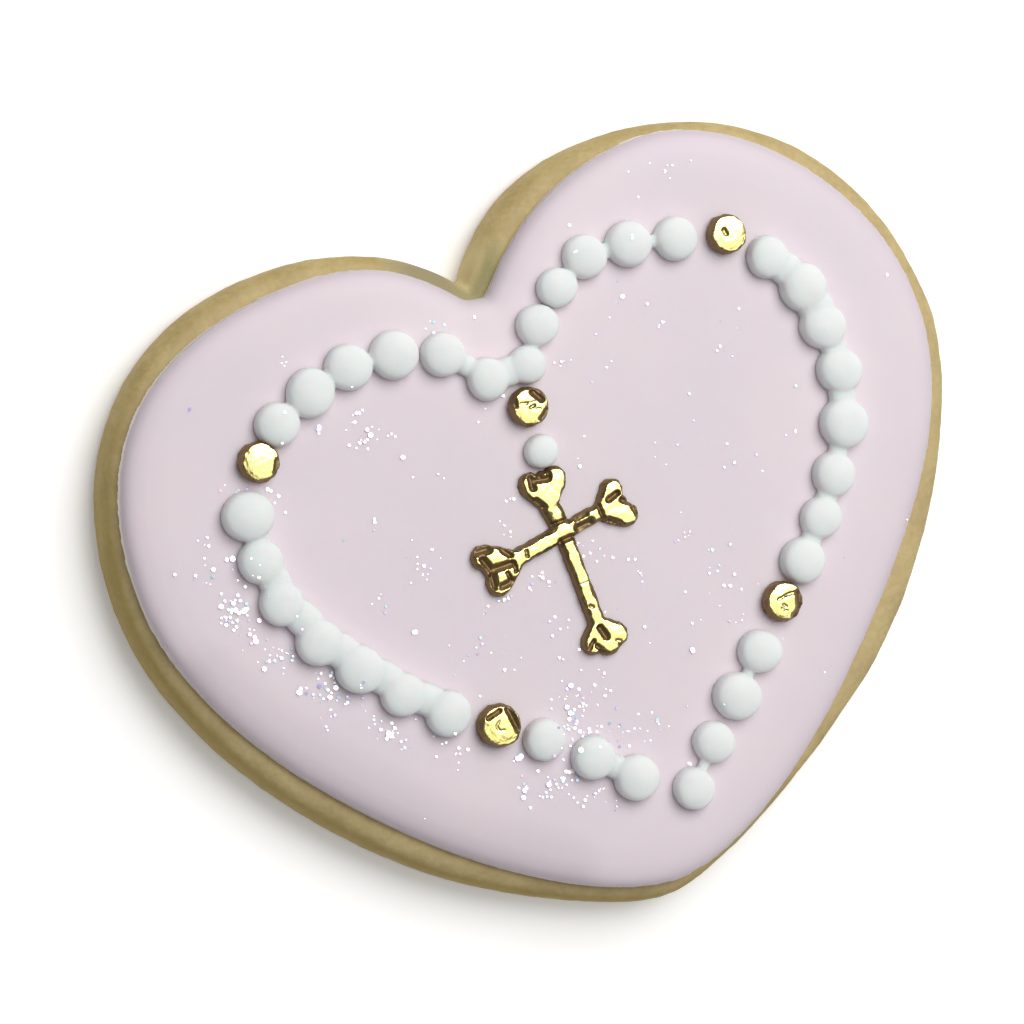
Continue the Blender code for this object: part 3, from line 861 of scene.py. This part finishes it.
# A patch of glitter: its middle, its spread along and across, its turn in degrees and its flakes.
Patch = namedtuple("Patch", "x y along across turn count")
DUST = (
    # the left edge, over the strand
    Patch(-28.8, -4.3, 1.0, 0.8, 0, 24), Patch(-27.0, -6.2, 0.9, 0.7, -45, 9), Patch(-30.0, -7.0, 0.5, 0.7, 0, 5),
    Patch(-25.6, -9.0, 0.7, 0.4, -60, 5), Patch(-24.3, -11.0, 0.7, 0.8, 0, 12), Patch(-23.6, -12.3, 0.6, 0.3, 0, 5),
    Patch(-20.6, -12.2, 1.2, 0.9, -45, 8), Patch(-19.8, -15.2, 1.3, 0.7, -20, 7), Patch(-32.6, 0.8, 1.2, 0.8, -30, 20),
    Patch(-31.0, 2.6, 0.3, 0.3, 0, 3), Patch(-32.5, 10.3, 0.9, 0.7, -45, 6), Patch(-34.8, 6.2, 1.1, 1.1, 0, 38),
    Patch(-34.3, 3.4, 0.8, 0.6, -30, 8), Patch(-36.2, 12.0, 0.8, 2.0, -20, 11), Patch(-33.2, 8.4, 0.8, 0.7, 0, 7),
    # inside the left strand
    Patch(-21.0, 1.8, 0.9, 0.6, -30, 5), Patch(-19.8, 9.2, 2.0, 0.4, 0, 4), Patch(-15.6, 5.3, 0.9, 0.9, 0, 6),
    Patch(-15.5, 2.2, 0.9, 0.9, 0, 7), Patch(-15.0, -6.0, 1.6, 0.6, -15, 6), Patch(-10.6, -7.6, 0.9, 1.8, 0, 6),
    Patch(-14.3, -11.0, 0.3, 0.3, 0, 2), Patch(-11.4, -2.7, 0.2, 0.2, 0, 1),
    # the upper left
    Patch(-21.3, 27.6, 0.5, 0.4, 0, 4), Patch(-16.8, 19.8, 0.8, 1.0, 0, 8), Patch(-16.6, 17.2, 1.5, 0.5, 0, 12),
    Patch(-13.8, 16.6, 0.5, 0.3, 0, 4), Patch(-13.2, 11.6, 2.0, 0.3, 0, 3), Patch(-30.3, 17.6, 0.8, 0.5, 0, 7),
    Patch(-26.9, 14.6, 0.4, 0.8, 0, 5), Patch(-23.9, 19.4, 0.2, 0.2, 0, 1), Patch(-6.1, 25.1, 0.7, 0.4, 0, 6),
    Patch(-1.7, 24.6, 0.2, 0.2, 0, 2), Patch(-32.0, 25.9, 0.2, 0.2, 0, 2),
    # the bottom
    Patch(-13.8, -20.0, 0.5, 1.0, 0, 10), Patch(-11.6, -22.0, 1.1, 0.6, 0, 12), Patch(-9.2, -22.5, 0.7, 1.0, 0, 12),
    Patch(-7.4, -24.3, 1.0, 0.5, 0, 10), Patch(-5.6, -25.8, 0.4, 0.8, 0, 5), Patch(-6.2, -16.2, 1.7, 1.6, 0, 60),
    Patch(-2.8, -19.7, 0.8, 0.8, 0, 10), Patch(-0.2, -20.2, 1.5, 0.9, 0, 11), Patch(2.8, -20.6, 1.4, 0.7, 0, 6),
    Patch(-2.0, -14.4, 0.3, 0.9, 0, 5), Patch(13.4, -13.4, 0.8, 0.4, 0, 4), Patch(17.0, -17.1, 0.2, 0.2, 0, 1),
    Patch(6.2, -12.2, 2.4, 0.2, 0, 3), Patch(8.0, -18.0, 0.2, 0.2, 0, 1),
    # around the cross
    Patch(3.6, 6.8, 0.5, 0.5, 45, 3), Patch(1.0, -1.4, 1.5, 0.6, -45, 10), Patch(-4.2, -2.2, 0.5, 0.4, 0, 7),
    Patch(-6.2, -2.0, 0.5, 0.5, 0, 4), Patch(-8.8, -2.6, 0.9, 0.2, 0, 7), Patch(5.4, -4.9, 0.6, 1.5, 20, 6),
    Patch(-4.4, -6.8, 0.6, 0.9, 0, 6), Patch(1.6, -7.8, 0.2, 0.2, 0, 1), Patch(5.1, -9.7, 0.2, 0.2, 0, 1),
    Patch(-4.6, -10.4, 1.1, 0.4, 0, 4), Patch(-6.2, 4.0, 0.8, 0.5, 40, 4), Patch(-4.8, 6.6, 0.5, 0.2, 0, 3),
    Patch(7.3, 2.3, 0.2, 0.2, 0, 1),
    # the right
    Patch(12.0, 20.6, 1.5, 0.6, 30, 3), Patch(16.1, 17.3, 0.7, 0.2, 20, 4), Patch(8.0, 14.7, 2.4, 0.4, 15, 3),
    Patch(5.0, 17.3, 0.9, 0.15, 0, 6), Patch(21.6, 12.9, 0.2, 0.2, 0, 1), Patch(16.0, 7.0, 0.2, 0.2, 0, 1),
    Patch(27.6, 6.5, 0.2, 0.2, 0, 1), Patch(11.3, 4.0, 0.8, 1.5, 0, 3), Patch(17.0, 1.4, 1.8, 0.2, 0, 3),
    Patch(26.2, 2.2, 1.1, 0.2, 0, 3), Patch(11.2, -3.3, 1.3, 0.5, 0, 6), Patch(12.7, -6.8, 0.7, 1.0, 0, 6),
    Patch(12.3, -9.6, 1.5, 0.7, 0, 7), Patch(9.8, 27.3, 0.1, 0.1, 0, 2), Patch(15.7, 26.5, 0.1, 0.1, 0, 2),
    Patch(0.7, 28.4, 0.1, 0.1, 0, 2), Patch(40.8, 13.5, 0.1, 0.1, 0, 2), Patch(22.3, 31.8, 4.4, 0.9, -8, 10),
    # a little everywhere
    Patch(0.0, 0.0, 22.0, 17.0, 0, 50),
)
CLUMPS = (
    Patch(-34.8, 6.0, 0.9, 0.9, 0, 9), Patch(-34.0, 3.3, 0.3, 0.3, 0, 3), Patch(-33.4, 11.2, 0.2, 0.2, 0, 2),
    Patch(-32.8, 0.7, 0.8, 0.4, 0, 4), Patch(-35.8, 10.6, 0.4, 0.4, 0, 2),
    Patch(-31.5, -3.5, 0.2, 0.2, 0, 3), Patch(-29.0, -4.2, 0.8, 0.7, 0, 7), Patch(-27.3, -5.8, 0.2, 0.2, 0, 2),
    Patch(-24.8, -10.6, 0.2, 0.2, 0, 3), Patch(-18.8, -2.3, 0.2, 0.2, 0, 2), Patch(-20.5, 20.0, 0.2, 0.2, 0, 2),
    Patch(-13.6, 14.4, 0.15, 0.15, 0, 2), Patch(-27.2, 16.0, 0.2, 0.2, 0, 2), Patch(-13.2, -17.8, 0.2, 0.2, 0, 4),
    Patch(-8.7, -21.2, 0.2, 0.2, 0, 3), Patch(3.2, -25.0, 0.15, 0.15, 0, 2), Patch(7.6, -14.5, 0.15, 0.15, 0, 2),
    Patch(13.3, 21.3, 0.1, 0.1, 0, 1), Patch(-6.2, -16.0, 1.6, 1.5, 0, 10), Patch(-12.0, -21.6, 1.4, 1.0, -30, 6),
    Patch(-16.4, 17.4, 0.9, 0.4, 0, 3), Patch(-4.4, -2.1, 0.3, 0.2, 0, 2),
)


def cut_flake():
    """One flake of glitter of size 1: a thin six-sided plate."""
    bpy.ops.object.select_all(action="DESELECT")
    bpy.ops.mesh.primitive_circle_add(vertices=FLAKE_SIDES, radius=0.5, fill_type="NGON")
    flake = bpy.context.active_object
    flake.name = "flake"
    open_piece(flake)
    bpy.ops.mesh.select_all(action="SELECT")
    bpy.ops.mesh.extrude_region_move(TRANSFORM_OT_translate={"value": (0.0, 0.0, 0.12)})
    bpy.ops.mesh.select_all(action="SELECT")
    bpy.ops.mesh.normals_make_consistent(inside=False)
    close_piece()
    return flake


def ground_under(surfaces):
    """A function that finds the highest surface point under a place, in metres, and its normal."""
    view = bpy.context.evaluated_depsgraph_get()
    trees = [BVHTree.FromObject(piece, view) for piece in surfaces]

    def find(x, y):
        best = None
        for tree in trees:
            place, normal, _, _ = tree.ray_cast(mm(x, y, 40.0), Vector((0.0, 0.0, -1.0)))
            if place and (best is None or place.z > best[0].z):
                best = (place, normal)
        return best

    return find


def towards_key():
    """The way a flake faces when it glints: halfway between the camera and the key softbox."""
    camera = slanted(CAMERA_OFF_VERTICAL, math.pi - PICTURE_TURN)
    key = slanted(math.radians(KEY_OFF_VERTICAL), math.radians(KEY_BEARING) - PICTURE_TURN)
    return (camera + key).normalized()


def scatter_glitter(material, surfaces):
    """Loose flakes lying on the icing and the pearls, propped a little so that they catch the light."""
    chance = random.Random(5)
    flake = cut_flake()
    find = ground_under(surfaces)
    glint = towards_key().to_track_quat("Z", "Y").to_matrix().to_4x4()
    joined = bmesh.new()
    tint_layer = joined.loops.layers.color.new("tint")
    for patch, sizes in [(patch, FINE) for patch in DUST] + [(patch, COARSE) for patch in CLUMPS]:
        spin = Matrix.Rotation(math.radians(patch.turn), 2)
        for _ in range(patch.count):
            offset = spin @ Vector((chance.gauss(0, patch.along), chance.gauss(0, patch.across)))
            found = find(patch.x + offset.x, patch.y + offset.y)
            size = chance.choice(sizes) * chance.uniform(0.9, 1.1)
            tilt = Matrix.Rotation(chance.gauss(0, FLAKE_TILT), 4, "X")
            lean = Matrix.Rotation(chance.gauss(0, FLAKE_TILT), 4, "Y")
            face = Matrix.Rotation(chance.uniform(0, 2 * math.pi), 4, "Z")
            colour = chance.choice(FLAKE_TINTS)
            facing = glint
            if sizes is FINE and chance.random() < FLAT_SHARE:
                colour = chance.choice(FLAT_TINTS)
                facing = Matrix.Identity(4)
            if found is None or found[1].z < 0.8:
                continue
            lift = found[0] + found[1] * (0.03 + size * 0.1) * MM
            moved = Matrix.Translation(lift) @ facing @ tilt @ lean @ face @ Matrix.Scale(size * MM, 4)
            before = len(joined.verts)
            joined.from_mesh(flake.data)
            joined.verts.ensure_lookup_table()
            new = joined.verts[before:]
            bmesh.ops.transform(joined, matrix=moved, verts=new)
            for vert in new:
                for loop in vert.link_loops:
                    loop[tint_layer] = (*colour, 1.0)
    mesh = bpy.data.meshes.new("edible_glitter")
    joined.to_mesh(mesh)
    joined.free()
    bpy.data.objects.remove(flake)
    piece = bpy.data.objects.new("edible_glitter", mesh)
    bpy.context.scene.collection.objects.link(piece)
    mesh.materials.append(material)
    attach(piece, BODY)
    return piece


# ---------------------------------------------------------------- the cookie

set_camera()
set_light()
lay_floor()
biscuit = bake_biscuit(biscuit_material())
icing = flood_icing(icing_material())
pearls = pipe_pearls(pearl_material())
gold = gold_material()
gild_beads(gold)
gild_cross(gold)
scatter_glitter(glitter_material(), [icing, biscuit, *pearls])
